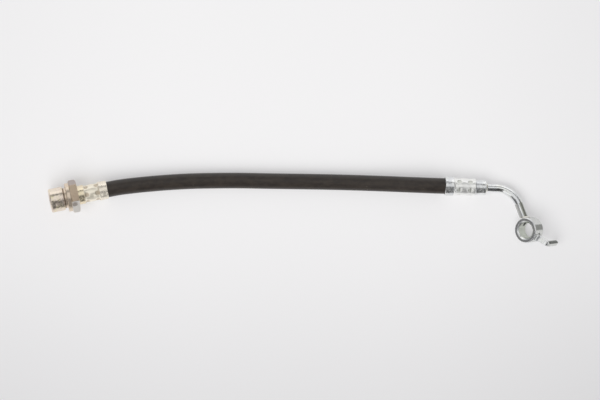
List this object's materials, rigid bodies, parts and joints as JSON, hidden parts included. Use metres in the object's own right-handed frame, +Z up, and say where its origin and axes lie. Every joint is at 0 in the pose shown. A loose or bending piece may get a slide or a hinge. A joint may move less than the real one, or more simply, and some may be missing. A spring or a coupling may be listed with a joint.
{
  "type": "brake hose",
  "caption": "Flexible brake hose with a female end fitting with clip groove and hex flange, and a banjo eye with a locating tang on a bent pipe.",
  "frame": {"origin": "centre of the fittings' box at the surface that the hose lies on", "axes": "+X along the hose from the female fitting to the banjo eye, +Z up from the surface"},
  "size_m": [0.3288, 0.0475, 0.0211],
  "materials": {
    "cover_rubber": "satin black rubber cover",
    "liner_rubber": "smooth black rubber",
    "braid_yarn": "undyed braided yarn",
    "yellow_zinc": "steel with yellow passivated zinc plating",
    "bright_zinc": "steel with bright zinc plating",
    "brazing": "bright plated brazing fillet",
    "insert_steel": "turned steel"
  },
  "bodies": {
    "root": {"hose_liner": "liner_rubber", "inner_braid": "braid_yarn", "cushion_layer": "liner_rubber", "outer_braid": "braid_yarn", "hose_cover": "cover_rubber", "female_fitting": "yellow_zinc", "inlet_nipple": "insert_steel", "crimp_socket": "bright_zinc", "outlet_nipple": "insert_steel", "socket_braze": "brazing", "bent_pipe": "bright_zinc", "banjo_eye": "bright_zinc", "eye_braze": "brazing"}
  },
  "joints": []
}
